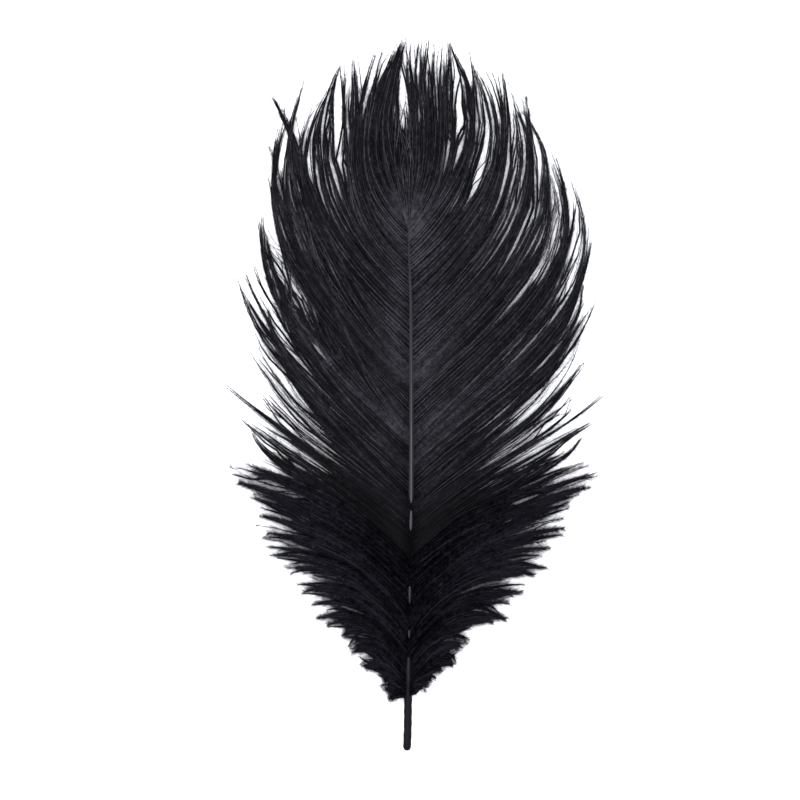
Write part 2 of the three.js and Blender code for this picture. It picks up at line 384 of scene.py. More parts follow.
@dataclass(frozen=True)
class HornFinish:
    """The shaft's horn: dyed black on the quill, with a paler line along its top where the barbs grow, partly
    the horn's own colour and partly painted highlight.
    """

    name: str = "horn"
    quill: tuple[float, float, float] = (0.0036, 0.0036, 0.0054)
    flank: tuple[float, float, float] = (0.017, 0.017, 0.02)
    # The paler colour along the top is partly the horn's own and partly painted highlight.
    ridge: tuple[float, float, float] = (0.1, 0.1, 0.107)
    pale_highlight_along: tuple[float, ...] = (0, 24, 34, 46, 64, 84, 94, 112, 126, 140, 152, 168, 190, 214)
    pale_highlight_share: tuple[float, ...] = (0, 0, 0.1, 0.4, 0.2, 0.35, 0.5, 0.55, 0.5, 0.34, 0.24, 0.12, 0.04, 0)
    specular: float = 0.05

    def material(self) -> bpy.types.Material:
        """Build the node material.

        The UV map's u runs from 0 at the cut end to 1 at the tip, and v once round the shaft with 0.5 on
        top. The pale colour, partly the horn's own and partly painted highlight, is a soft band at v = 0.5
        whose strength follows its table along the shaft, broken by streaks. The quill is darker than the
        rest.

        Returns:
            The material.
        """
        nodes = Nodes(self.name)
        uv = nodes.add("ShaderNodeUVMap", uv_map="fibre")
        split = nodes.add("ShaderNodeSeparateXYZ")
        nodes.join(uv.outputs["UV"], split.inputs["Vector"])
        across = nodes.ramp(
            split.outputs["Y"],
            [(0.45, (0, 0, 0)), (0.49, (1, 1, 1)), (0.51, (1, 1, 1)), (0.55, (0, 0, 0))],
        )
        length = LINE.along[-1]
        shares = [(place / length, (share,) * 3) for place, share in zip(self.pale_highlight_along, self.pale_highlight_share)]
        lengthwise = nodes.ramp(split.outputs["X"], shares)
        stretch = nodes.add("ShaderNodeMapping", Scale=(900.0, 40.0, 900.0))
        place = nodes.add("ShaderNodeTexCoord")
        nodes.join(place.outputs["Object"], stretch.inputs["Vector"])
        streaks = nodes.add("ShaderNodeTexNoise", Scale=1.0, Detail=4.0)
        nodes.join(stretch.outputs["Vector"], streaks.inputs["Vector"])
        amount = nodes.add("ShaderNodeMath", operation="MULTIPLY")
        nodes.join(across, amount.inputs[0])
        nodes.join(lengthwise, amount.inputs[1])
        broken = nodes.add("ShaderNodeMapRange", From_Min=0.2, From_Max=0.6, To_Min=0.5, To_Max=1.0)
        nodes.join(streaks.outputs["Fac"], broken.inputs["Value"])
        pale = nodes.add("ShaderNodeMath", operation="MULTIPLY")
        nodes.join(amount.outputs["Value"], pale.inputs[0])
        nodes.join(broken.outputs["Result"], pale.inputs[1])
        ground = nodes.ramp(split.outputs["X"], [(0.1, self.quill), (0.4, self.flank)])
        mix = nodes.add("ShaderNodeMix", data_type="RGBA")
        nodes.join(pale.outputs["Value"], mix.inputs[0])
        nodes.join(ground, mix.inputs[6])
        mix.inputs[7].default_value = (*self.ridge, 1.0)
        nodes.join(mix.outputs[2], nodes.shader.inputs["Base Color"])
        gloss = nodes.add("ShaderNodeMapRange", To_Min=0.35, To_Max=0.65)
        nodes.join(streaks.outputs["Fac"], gloss.inputs["Value"])
        nodes.join(gloss.outputs["Result"], nodes.shader.inputs["Roughness"])
        bump = nodes.add("ShaderNodeBump", Strength=0.5, Distance=0.00008)
        nodes.join(streaks.outputs["Fac"], bump.inputs["Height"])
        nodes.join(bump.outputs["Normal"], nodes.shader.inputs["Normal"])
        nodes.shader.inputs["Specular IOR Level"].default_value = self.specular
        return nodes.material


@dataclass(frozen=True)
class FloorFinish:
    """A plain matt pale floor with the faintest unevenness."""

    name: str = "pale_floor"
    colour: tuple[float, float, float] = (0.9, 0.9, 0.91)

    def material(self) -> bpy.types.Material:
        """Build the node material.

        Returns:
            The material.
        """
        nodes = Nodes(self.name)
        place = nodes.add("ShaderNodeTexCoord")
        noise = nodes.add("ShaderNodeTexNoise", Scale=4.0, Detail=3.0)
        nodes.join(place.outputs["Object"], noise.inputs["Vector"])
        darker = tuple(0.98 * part for part in self.colour)
        colour = nodes.ramp(noise.outputs["Fac"], [(0.3, darker), (0.7, self.colour)])
        nodes.join(colour, nodes.shader.inputs["Base Color"])
        nodes.shader.inputs["Roughness"].default_value = 0.85
        nodes.shader.inputs["Specular IOR Level"].default_value = 0.1
        return nodes.material


# ------------------------------------------------------------------------------------------- shaft


@dataclass
class Shaft:
    """The quill and the tapering shaft that the barbs grow from."""

    line: ShaftLine = LINE
    sides: int = 32
    first_ring: float = 2.5
    step: float = 1.2
    end_chamfer: float = 1.6
    end_share: float = 0.72
    quill_fade: tuple[float, float] = (26.0, 40.0)
    quill_roughness: float = 0.06
    ridge_height: float = 0.16
    ridge_width: float = 0.34
    ridge_growth: tuple[float, float] = (50.0, 75.0)
    finish: HornFinish = field(default_factory=HornFinish)

    def surface(self) -> Surface:
        """Work out the shaft's skin.

        A circle of the shaft's radius is carried along its course. A narrow ridge is added on top as a bell
        curve of the angle from straight up, growing in past the quill. The quill's outline wavers by a long
        and a short sine wave, and whatever would reach below the surface that it lies on is pressed flat.

        Returns:
            The closed surface.
        """
        length = self.line.along[-1]
        rings = np.arange(self.first_ring, length, self.step)
        along = np.concatenate([[0.0, 0.5, self.end_chamfer], rings, [length]])
        angle = np.linspace(0.0, 2.0 * np.pi, self.sides, endpoint=False) - 0.5 * np.pi
        grid_along, grid_angle = np.meshgrid(along, angle, indexing="ij")
        radius = self.line.radius_at(grid_along)
        chamfer = np.interp(grid_along, [0.0, self.end_chamfer], [self.end_share, 1.0])
        quill = 1.0 - smoothstep(*self.quill_fade, grid_along)
        long_wave = np.sin(1.3 * grid_along + 2.0 * grid_angle)
        short_wave = np.sin(3.1 * grid_along - 3.0 * grid_angle)
        waver = long_wave + 0.6 * short_wave
        from_top = (grid_angle - 0.5 * np.pi) / self.ridge_width
        ridge = np.exp(-from_top * from_top) * smoothstep(*self.ridge_growth, grid_along)
        reach = radius * chamfer + quill * self.quill_roughness * waver + self.ridge_height * ridge
        side = self.line.side_at(grid_along) + reach * np.cos(grid_angle)
        height = self.line.height_at(grid_along) + reach * np.sin(grid_angle)
        points = np.stack([side, grid_along, np.maximum(height, 0.0)], axis=-1).reshape(-1, 3)
        turn = (grid_angle + 0.5 * np.pi) / (2.0 * np.pi)
        uv = np.stack([grid_along / length, turn], axis=-1).reshape(-1, 2)
        quads, caps = tube_faces(1, len(along), self.sides)
        return Surface(points, uv, quads[:, ::-1], caps[:, ::-1])

    def build(self) -> bpy.types.Object:
        """Make the shaft's piece and put it in the CAD shaft's place.

        Returns:
            The piece.
        """
        piece = make_piece("shaft_horn", [self.surface()], self.finish.material())
        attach(piece, "root")
        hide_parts("shaft")
        return piece


# ------------------------------------------------------------------------------------------- barbs


@dataclass(frozen=True)
class Strand:
    """Where one strand of barbs runs, in millimetres and degrees outward from the shaft.

    mark is the place along the shaft that it belongs to; it grows out of the shaft nearer the quill, by the
    slide that the form lists for its mark. out and along place its tip, leave and lean are its directions at
    the root and at the tip, and bow says how strongly each direction holds.
    """

    mark: float
    out: float
    along: float
    leave: float
    lean: float
    bow: tuple[float, float] = (0.42, 0.42)


@dataclass(frozen=True)
class Parting:
    """A gap between barbs: the mark that it belongs to, its two ends as shares of a barb, its width."""

    mark: float
    start: float
    end: float
    width: float


@dataclass(frozen=True)
class Thinning:
    """A streak of narrow barbs: the mark that it belongs to, how far it spreads along the marks to both
    sides, its two ends as shares of a barb and the share of their width that its barbs keep."""

    mark: float
    spread: float
    start: float
    end: float
    keep: float


# How many of the shaft's radii above its middle the barbs start, by their root's place along the shaft. Above
# one radius they cover the shaft, and below it the shaft shows between them.
SHAFT_COVER = (
    (20, 0), (30, 0.1), (36, 0.5), (39, 1.3), (43, 1.3), (45, 0.6), (47.5, 0.6), (50, 1.3), (56, 1.3),
    (59.5, 0.7), (64.5, 0.7), (67.5, 1.3), (86, 1.3), (89.5, 0.7), (95, 0.7), (97, 1.2), (98, 1.2),
    (100.5, 0.3),
)
# How far below its mark a barb grows out of the shaft, by its mark.
ROOT_SLIDE = (
    (20, 0), (47, 0), (50, 2), (60, 7), (70, 10), (80, 9), (87, 10), (105, 11), (113, 14), (128, 15),
    (141, 14), (149, 12), (156, 8), (165, 5), (175, 2), (185, 0),
)


@dataclass(frozen=True)
class BarbForm:
    """The sizes that the barbs of one region share, in millimetres and shares of a barb's length.

    Two barbs out of three are the ground, which lies lower and is wider and darker, and the third is a
    stripe. The ground's darker tone is painted shade in the grooves between the stripes, and the stripe's
    lighter tone is a painted highlight on them. Lists of pairs are read as tables: gather_from, crowd, slide
    and root_tone by a barb's mark, lift by its root's place along the shaft, and shade by how far along the
    plume a point lies. A barb's tone is ground_shade_tone and a random part of ground_swing, and a stripe's
    has stripe_highlight_tone and the same part of stripe_swing on top. level_parts are the shares of chance,
    lock and strand in how high a barb lies, and the four crack ranges are what the cracks' random draws lie
    between.
    """

    count: int
    width: tuple[float, ...]
    ground_width: tuple[float, ...]
    thickness: float
    gather_from: tuple[tuple[float, float], ...]
    gather: tuple[float, float]
    reach: float
    trim: float
    drift: float
    arch: float
    sink: float
    tip_height: float
    layer: float
    meander: float
    wander: float
    cracks: int = 0
    stripe_height: float = 0.22
    # How strongly a lock's edges are painted dark and its middle painted light, as painted shade and light.
    lock_painted_shade: float = 0.12
    # How much lighter the tips are painted, as painted light through and on the thin tips.
    tip_painted_light: float = 1.0
    root_tone: tuple[tuple[float, float], ...] = ((0.0, 1.0), (284.0, 1.0))
    root_reach: float = 0.15
    crowd: tuple[tuple[float, float], ...] = ((0.0, 1.0), (284.0, 1.0))
    shade: tuple[tuple[float, float], ...] = ((0.0, 1.0), (284.0, 1.0))
    lift: tuple[tuple[float, float], ...] = SHAFT_COVER
    slide: tuple[tuple[float, float], ...] = ROOT_SLIDE
    segments: int = 14
    even_at: tuple[float, float] = (0.3, 0.65)
    jitter: float = 0.3
    # The ground's base tone is painted shade, and the stripe's extra tone is painted highlight.
    ground_shade_tone: float = 0.07
    stripe_highlight_tone: float = 0.22
    ground_swing: float = 0.06
    stripe_swing: float = 0.44
    least_tone: float = 0.05
    # The share of the tone that a ribbon's edges and back keep, as painted shade.
    edge_painted_shade: float = 0.4
    level_parts: tuple[float, float, float] = (0.3, 0.4, 0.3)
    roll: float = 0.5
    taper: float = 0.75
    crack_mark: tuple[float, float] = (0.1, 0.98)
    crack_start: tuple[float, float] = (0.45, 0.85)
    crack_length: tuple[float, float] = (0.06, 0.18)
    crack_width: tuple[float, float] = (0.3, 0.9)
    parting_end: float = 0.1
    parting_reach: float = 0.9
    width_stations: tuple[float, ...] = (0.0, 0.25, 0.5, 0.75, 0.9, 1.0)


@dataclass(frozen=True)
class WispForm:
    """The sizes of the wisps of one region: how many, their length and how far they stray, in millimetres."""

    count: int
    length: tuple[float, float]
    stray: float
    width: float
    start: tuple[float, float]
    segments: int = 4
    farthest: float = 1.04
    bend: float = 1.6
    taper: float = 0.75
    tone: tuple[float, float] = (0.2, 0.9)


@dataclass(frozen=True)
class BarbuleForm:
    """The sizes of the barbules of one region, in millimetres and degrees from their barb."""

    count: int
    length: tuple[float, float, float]
    width: float
    angle: tuple[float, float]
    tip_angle: tuple[float, float]
    rise: float
    soft_below: tuple[float, float] = (88.0, 112.0)
    soft_angle: float = 0.0
    outer: float = 1.0
    tone: float = 0.22
    barb_tone: float = 0.3
    tone_range: tuple[float, float] = (0.1, 1.8)
    length_range: tuple[float, float] = (0.55, 1.25)
    width_range: tuple[float, float] = (0.7, 1.3)
    mean_rise: float = 0.3
    edge_share: float = 0.6
    thinned_power: float = 0.3
    length_stations: tuple[float, float, float] = (0.0, 0.6, 1.0)


class BarbBed:
    """The curves of all the barbs on one side of one region.

    The strands make a fan: a place in it is a strand's number, counted from the quill upwards, with the
    fractions between two strands. A barb drifts slowly off its own place in the fan. Partings push it aside,
    and its tip is drawn towards the strand nearest to where it has drifted.
    """

    def __init__(
        self,
        side: Side,
        strands: tuple[Strand, ...],
        partings: tuple[Parting, ...],
        thinnings: tuple[Thinning, ...],
        form: BarbForm,
        seed: int,
    ) -> None:
        """Lay out the strand curves and spread the barbs over the fan.

        Args:
            side: Which side of the shaft.
            strands: The strands, in any order.
            partings: The gaps between barbs.
            thinnings: The streaks of narrow barbs.
            form: The sizes of the barbs.
            seed: The seed of every random draw for this bed.
        """
        self.sign = side.value
        self.form = form
        self.random = np.random.default_rng(seed)
        self.strands = sorted(strands, key=lambda strand: strand.mark)
        self.thinnings = thinnings
        self.marks = np.array([strand.mark for strand in self.strands])
        self.roots = self.marks - np.interp(self.marks, *np.array(form.slide).T)
        self.controls = self._controls()
        self.number = self._spread()
        self.mark = np.interp(self.number, np.arange(len(self.marks)), self.marks)
        self.root = np.interp(self.number, np.arange(len(self.roots)), self.roots)
        self.partings = partings + self._cracks()
        self.waves = self.random.uniform(0.0, 2.0 * np.pi, 3)
        self.count = form.count
        strayed = self.number + form.drift * self.random.normal(0.0, 1.0, self.count)
        self.drift = np.clip(strayed, 0.0, len(self.strands) - 1.0) - self.number
        self.own = np.rint(self.number + self.drift)
        self.reach = form.reach - form.trim * self._low_draw()
        lock = np.cos(2.0 * np.pi * (self.number - np.rint(self.number)))
        stripe = (np.arange(self.count) % STRIPE_EVERY == 1).astype(int)
        swing = form.ground_swing + form.stripe_swing * stripe
        # Ground barbs are darker as painted shade between the stripes, and stripes are lighter as painted
        # highlight. The swing adds random tone to both.
        tone = form.ground_shade_tone + form.stripe_highlight_tone * stripe + swing * self._low_draw()
        # Barbs at a lock's edges are painted darker, as painted shade in the grooves between locks. Those at
        # its middle are painted lighter, as painted light on the raised locks.
        self.tone = np.maximum(tone + form.lock_painted_shade * lock, form.least_tone)
        by_chance, by_lock, by_strand = form.level_parts
        chance = self.random.uniform(-1.0, 1.0, self.count)
        self.level = by_chance * chance + by_lock * lock + by_strand * (self.own % LAYERS - 1.0)
        self.stripe = stripe
        self.phase = self.random.uniform(0.0, 2.0 * np.pi, (self.count, 2))
        self.hold = self.random.uniform(*form.gather, self.count)

    def _low_draw(self) -> np.ndarray:
        """Draw a number from 0 to 1 for each barb, more often low than high."""
        return self.random.uniform(0.0, 1.0, self.count) ** LOW_DRAW_POWER

    def _cracks(self) -> tuple[Parting, ...]:
        """Draw the short narrow partings that break up the vane, at random places in its outer part.

        Returns:
            The partings.
        """
        form = self.form
        span = self.marks[-1] - self.marks[0]
        mark = self.marks[0] + span * self.random.uniform(*form.crack_mark, form.cracks)
        start = self.random.uniform(*form.crack_start, form.cracks)
        end = start + self.random.uniform(*form.crack_length, form.cracks)
        width = self.random.uniform(*form.crack_width, form.cracks)
        return tuple(Parting(*row) for row in zip(mark, start, end, width))

    def _controls(self) -> np.ndarray:
        """Work out each strand's four control points.

        The curve starts on the shaft's middle line. Its second point lies ahead of the root and its third
        behind the tip, each by its bow times the straight distance from root to tip.

        Returns:
            An array of shape (strands, 4, 2).
        """
        rows = np.array([(s.out, s.along, s.leave, s.lean, *s.bow) for s in self.strands])
        root = np.stack([LINE.side_at(self.roots), self.roots], axis=1)
        tip = np.stack([self.sign * rows[:, 0], rows[:, 1]], axis=1)
        reach = np.linalg.norm(tip - root, axis=1, keepdims=True)
        leave = self._heading(rows[:, 2])
        lean = self._heading(rows[:, 3])
        ahead = root + rows[:, 4:5] * reach * leave
        behind = tip - rows[:, 5:6] * reach * lean
        return np.stack([root, ahead, behind, tip], axis=1)

    def _heading(self, degrees: np.ndarray) -> np.ndarray:
        """Turn angles outward from the shaft into directions in the plume's plane."""
        angle = np.radians(degrees)
        return np.stack([self.sign * np.sin(angle), np.cos(angle)], axis=1)

    def _fan(self, number: np.ndarray, t: np.ndarray) -> np.ndarray:
        """Place points in the fan.

        The point lies on a cubic curve whose control points are blended straight between the strands on
        both sides of its number.

        Args:
            number: Each point's place between the strands.
            t: Each point's share of the way from root to tip.

        Returns:
            The points' sideways and lengthways places, in millimetres.
        """
        number = np.clip(number, 0.0, len(self.strands) - 1.001)
        low = np.floor(number).astype(int)
        mix = (number - low)[:, None, None]
        controls = self.controls[low] * (1.0 - mix) + self.controls[low + 1] * mix
        t = t[:, None]
        s = 1.0 - t
        return (
            s * s * s * controls[:, 0]
            + 3.0 * s * s * t * controls[:, 1]
            + 3.0 * s * t * t * controls[:, 2]
            + t * t * t * controls[:, 3]
        )

    def _breadth(self, number: np.ndarray, t: np.ndarray) -> np.ndarray:
        """Give the distance between one strand and the next, in millimetres, at places in the fan."""
        return np.linalg.norm(self._fan(number + 0.5, t) - self._fan(number - 0.5, t), axis=1)

    def _spread(self) -> np.ndarray:
        """Spread the barbs evenly over the fan.

        The spacing is worked out at two places on the way out and at the roots, and the widest counts. The
        form's crowd makes the barbs denser for some marks.

        Returns:
            Each barb's place in the fan, rising.
        """
        number = np.linspace(0.0, len(self.strands) - 1.0, FAN_SAMPLES * len(self.strands))
        near, far = (self._breadth(number, np.full(len(number), t)) for t in self.form.even_at)
        root_gap = np.interp(number, np.arange(len(self.roots)), np.gradient(self.roots))
        marks = np.interp(number, np.arange(len(self.marks)), self.marks)
        crowd = np.interp(marks, *np.array(self.form.crowd).T)
        weight = np.cumsum(np.maximum(np.maximum(near, far), root_gap) * crowd)
        weight = (weight - weight[0]) / (weight[-1] - weight[0])
        step = 1.0 / (self.form.count - 1)
        even = np.arange(self.form.count) * step
        jitter = self.random.uniform(-self.form.jitter, self.form.jitter, self.form.count) * step
        return np.interp(np.clip(even + jitter, 0.0, 1.0), weight, number)

    def _parted(self, barb: np.ndarray, t: np.ndarray) -> np.ndarray:
        """Give the place in the fan of points on barbs.

        A barb drifts off its place with the square of the way out. Three sine waves over the place and the
        way out crowd the barbs here and spread them there, the ground's less than the stripes'. A parting
        pushes the barbs beside it away from its own place by half its width, less and less with their
        distance from it, and eases in and out at its ends. Towards the tip a barb is drawn to its own
        strand, by its own share of the way there.

        Args:
            barb: The number of each point's barb.
            t: Each point's share of the way from root to tip.

        Returns:
            Each point's place between the strands.
        """
        form = self.form
        number = self.number[barb] + self.drift[barb] * t * t
        wave = sum(
            np.sin(over_place * number + over_way * t + start)
            for (over_place, over_way), start in zip(FAN_WAVES, self.waves)
        )
        number = number + form.wander * smoothstep(0.1, 0.6, t) * wave * (0.35 + 0.65 * self.stripe[barb])
        moved = number.copy()
        for parting in self.partings:
            place = np.interp(parting.mark, self.marks, np.arange(len(self.marks)))
            middle = np.array([0.5 * (parting.start + parting.end)])
            breadth = self._breadth(np.array([place]), middle)[0]
            half = min(0.5 * parting.width / breadth, 0.8 * form.parting_reach)
            ease = min(form.parting_end, 0.5 * (parting.end - parting.start))
            opening = smoothstep(parting.start, parting.start + ease, t)
            if parting.end < 1.0:
                opening = opening * (1.0 - smoothstep(parting.end - ease, parting.end, t))
            away = number - place
            moved += np.sign(away) * half * opening * np.exp(-np.abs(away) / form.parting_reach)
        start = np.interp(self.mark[barb], *np.array(form.gather_from).T)
        gather = smoothstep(start, 1.0, t) * self.hold[barb]
        return moved * (1.0 - gather) + self.own[barb] * gather

    def point(self, barb: np.ndarray, share: np.ndarray) -> np.ndarray:
        """Place points on barbs.

        The course is the barb's place in the fan with a slight meander. The height falls from the shaft to
        the tip as a power of the way out, with a hump between them.

        Args:
            barb: The number of each point's barb.
            share: How far along the barb each point lies, from 0 to 1.

        Returns:
            The points in plume space, in millimetres.
        """
        form = self.form
        t = np.maximum(share, 0.0) * self.reach[barb]
        course = self._fan(self._parted(barb, t), t)
        wave = np.sin(5.0 * t + self.phase[barb, 0]) + 0.5 * np.sin(13.0 * t + self.phase[barb, 1])
        course[:, 0] += form.meander * t * wave
        root = self.root[barb]
        lift = np.interp(root, *np.array(form.lift).T)
        root_height = LINE.height_at(root) + lift * LINE.radius_at(root)
        root_height = root_height + form.stripe_height * self.stripe[barb]
        level = self.level[barb] * form.layer
        tip_height = form.tip_height + np.maximum(level, 0.0)
        fall = t ** form.sink
        height = root_height * (1.0 - fall) + tip_height * fall + 4.0 * t * (1.0 - t) * (form.arch + level)
        return np.column_stack([course, np.maximum(height, LOWEST_MIDDLE)])

    def frame(
        self, barb: np.ndarray, share: np.ndarray
    ) -> tuple[np.ndarray, np.ndarray, np.ndarray, np.ndarray]:
        """Place points on barbs, each with the way ahead, across and up.

        Args:
            barb: The number of each point's barb.
            share: How far along the barb each point lies, from 0 to 1.

        Returns:
            The points and three arrays of unit vectors.
        """
        middle = self.point(barb, share)
        behind = self.point(barb, np.maximum(share - HEADING_STEP, 0.0))
        ahead = unit(self.point(barb, share + HEADING_STEP) - behind)
        across = unit(np.cross(ahead, np.array([0.0, 0.0, 1.0])))
        return middle, ahead, across, np.cross(across, ahead)

    def fullness(self, barb: np.ndarray, share: np.ndarray) -> np.ndarray:
        """Give the share of their width that barbs keep, which thinnings bring down.

        Args:
            barb: The number of each point's barb.
            share: How far along the barb each point lies, from 0 to 1.

        Returns:
            Each point's share of the full width, from 0 to 1.
        """
        full = np.ones(len(barb))
        for thin in self.thinnings:
            away = np.abs(self.mark[barb] - thin.mark)
            beside = 1.0 - smoothstep(THINNING_CORE * thin.spread, thin.spread, away)
            ease = THINNING_EASE * (thin.end - thin.start)
            along = smoothstep(thin.start, thin.start + ease, share)
            if thin.end < 1.0:
                along = along * (1.0 - smoothstep(thin.end - ease, thin.end, share))
            full = full * (1.0 - (1.0 - thin.keep) * beside * along)
        return full

    def half_width(self, barb: np.ndarray, share: np.ndarray) -> np.ndarray:
        """Give half the ribbon's width at points on barbs.

        Args:
            barb: The number of each point's barb.
            share: How far along the barb each point lies, from 0 to 1.

        Returns:
            Half of each point's width, in millimetres.
        """
        top = np.interp(share, self.form.width_stations, self.form.width)
        ground = np.interp(share, self.form.width_stations, self.form.ground_width)
        return 0.5 * np.where(self.stripe[barb] == 1, top, ground) * self.fullness(barb, share)

    def shaded(self, tone: np.ndarray, barb: np.ndarray, share: np.ndarray, points: np.ndarray) -> np.ndarray:
        """Scale tones by how far along the plume and how far out on their barb their points lie.

        Args:
            tone: The tones.
            barb: The number of each point's barb.
            share: How far along its barb each point lies, from 0 to 1.
            points: The points in plume space.

        Returns:
            The scaled tones.
        """
        form = self.form
        # The tone rises towards the tip, as painted light. Near the root it follows root_tone.
        outward = 1.0 + (form.tip_painted_light - 1.0) * share**2
        root = np.interp(self.mark[barb], *np.array(form.root_tone).T) - 1.0
        inward = 1.0 + root * (1.0 - smoothstep(0.2 * form.root_reach, form.root_reach, share))
        return tone * outward * inward * np.interp(points[:, 1], *np.array(form.shade).T)

    def ribbons(self, first: int, last: int) -> Surface:
        """Make the ribbons of a run of barbs.

        The section is a rhombus, wide across the barb and thin from front to back. A stripe's rolls slowly
        to and fro. It is carried along the barb's course with its width falling away to the tip. The tone is
        full along the front ridge and low at both edges and at the back, as painted shade on the ribbon's
        sides and back.

        Args:
            first: The first barb's number.
            last: The number after the last barb's.

        Returns:
            The closed ribbons.
        """
        barbs = last - first
        rings = self.form.segments + 1
        barb = np.repeat(np.arange(first, last), rings)
        share = np.tile(np.linspace(0.0, 1.0, rings), barbs)
        middle, _, across, up = self.frame(barb, share)
        roll = self.form.roll * self.stripe[barb] * np.sin(4.0 * share + self.phase[barb, 1])
        flat = across * np.cos(roll)[:, None] + up * np.sin(roll)[:, None]
        face = up * np.cos(roll)[:, None] - across * np.sin(roll)[:, None]
        half = self.half_width(barb, share)[:, None]
        thick = 0.5 * self.form.thickness * (1.0 - self.form.taper * share)[:, None]
        ring = np.stack([flat * half, -face * thick, -flat * half, face * thick], axis=1)
        points = (middle[:, None] + ring).reshape(-1, 3)
        points[:, 2] = np.maximum(points[:, 2], LOWEST_POINT)
        tone = self.shaded(self.tone[barb], barb, share, middle)
        uv = np.repeat(np.column_stack([share + U_PER_BARB * barb, tone]), 4, axis=0)
        # The edges and back keep only a share of the tone, as painted shade. The front ridge keeps all of it.
        edge = self.form.edge_painted_shade
        uv[:, 1] *= np.tile([edge, edge, edge, 1.0], len(barb))
        quads, caps = tube_faces(barbs, rings, 4)
        return Surface(points, uv, quads, caps)

    def barbules(self, first: int, last: int, form: BarbuleForm) -> Surface:
        """Make the barbules of a run of barbs.

        Each is a spike with a three-cornered base near an edge of the ribbon, leaning outward from the way
        ahead by its angle, and more so on the soft barbs near the quill. They are spread over the barbs'
        length, two fifths as densely beside the shaft as further out, and denser towards the tips by the
        outer factor. Where a barb is thinned, they are shorter by a power of the width that it keeps.

        Args:
            first: The first barb's number.
            last: The number after the last barb's.
            form: The sizes of the barbules.

        Returns:
            The closed spikes.
        """
        cells = BARBULE_CELLS
        barb = np.repeat(np.arange(first, last), cells)
        start = np.tile(np.arange(cells) / cells, last - first)
        length = np.linalg.norm(self.point(barb, start + 1.0 / cells) - self.point(barb, start), axis=1)
        inner_density = 0.4 + 0.6 * smoothstep(0.1, 0.4, start)
        outer_density = 1.0 + (form.outer - 1.0) * smoothstep(0.6, 0.9, start)
        weight = np.cumsum(length * (inner_density * outer_density))
        even = (np.arange(form.count) + self.random.uniform(0.0, 1.0, form.count)) / form.count
        cell = np.searchsorted(weight, even * weight[-1] * JUST_UNDER_ONE)
        barb = barb[cell]
        share = start[cell] + self.random.uniform(0.0, 1.0, form.count) / cells
        middle, ahead, across, up = self.frame(barb, share)
        edge = np.where(self.random.uniform(size=form.count) < 0.5, -1.0, 1.0)
        low = form.angle[0] + (form.tip_angle[0] - form.angle[0]) * share
        high = form.angle[1] + (form.tip_angle[1] - form.angle[1]) * share
        soft = 1.0 - smoothstep(*form.soft_below, self.root[barb])
        lean = np.radians(low + (high - low) * self.random.uniform(size=form.count) + form.soft_angle * soft)
        rise = self.random.normal(form.mean_rise * form.rise, form.rise, form.count)
        way = unit(
            ahead * np.cos(lean)[:, None] + across * (edge * np.sin(lean))[:, None] + up * rise[:, None]
        )
        flat = unit(np.cross(way, up))
        deep = np.cross(flat, way)
        size = np.interp(share, form.length_stations, form.length)
        size = size * self.random.uniform(*form.length_range, form.count)
        size = size * self.fullness(barb, share) ** form.thinned_power
        half = 0.5 * form.width * self.random.uniform(*form.width_range, form.count)[:, None]
        base = middle + across * (edge * form.edge_share * self.half_width(barb, share))[:, None]
        corners = np.stack(
            [
                base + flat * half,
                base - flat * half * 0.5 - deep * half * HALF_ROOT_THREE,
                base - flat * half * 0.5 + deep * half * HALF_ROOT_THREE,
                base + way * size[:, None],
            ],
            axis=1,
        )
        points = corners.reshape(-1, 3)
        points[:, 2] = np.maximum(points[:, 2], LOWEST_POINT)
        tone = form.barb_tone * self.tone[barb] + form.tone
        tone = tone * self.random.uniform(*form.tone_range, form.count)
        tone = self.shaded(tone, barb, share, middle)
        uv = np.repeat(np.column_stack([share + U_PER_BARB * barb, tone]), 4, axis=0)
        spike = np.array([[0, 2, 1], [0, 1, 3], [1, 2, 3], [2, 0, 3]])
        triangles = (spike[None] + 4 * np.arange(form.count)[:, None, None]).reshape(-1, 3)
        return Surface(points, uv, np.zeros((0, 4), dtype=int), triangles, smooth=False)

    def wisps(self, first: int, last: int, form: WispForm) -> Surface:
        """Make the wisps of a run of barbs.

        Each is a tube with three sides that starts on its barb and runs along with it, while it strays to
        one side by its own random share of the stray, with a power of the way. It thins to its tip.

        Args:
            first: The first barb's number.
            last: The number after the last barb's.
            form: The sizes of the wisps.

        Returns:
            The closed wisps.
        """
        rings = form.segments + 1
        owner = self.random.integers(first, last, form.count)
        length = self.random.uniform(*form.length, form.count)
        root = self.point(owner, np.zeros(form.count))
        tip = self.point(owner, np.ones(form.count))
        stretch = length / np.linalg.norm(tip - root, axis=1)
        start = self.random.uniform(*form.start, form.count)
        start = np.minimum(start, form.farthest - stretch)
        stray = form.stray * self.random.normal(0.0, 1.0, form.count)
        barb = np.repeat(owner, rings)
        way = np.tile(np.linspace(0.0, 1.0, rings), form.count)
        share = np.repeat(start, rings) + way * np.repeat(stretch, rings)
        middle, _, across, up = self.frame(barb, share)
        middle = middle + across * (np.repeat(stray, rings) * way**form.bend)[:, None]
        half = 0.5 * form.width * (1.0 - form.taper * way)[:, None]
        back = -across * half * 0.5
        deep = up * half * HALF_ROOT_THREE
        ring = np.stack([across * half, back - deep, back + deep], axis=1)
        points = (middle[:, None] + ring).reshape(-1, 3)
        points[:, 2] = np.maximum(points[:, 2], LOWEST_POINT)
        tone = np.repeat(self.random.uniform(*form.tone, form.count), rings)
        tone = self.shaded(tone, barb, share, middle)
        uv = np.repeat(np.column_stack([share + U_PER_BARB * barb, tone]), 3, axis=0)
        quads, caps = tube_faces(form.count, rings, 3)
        return Surface(points, uv, quads, caps)


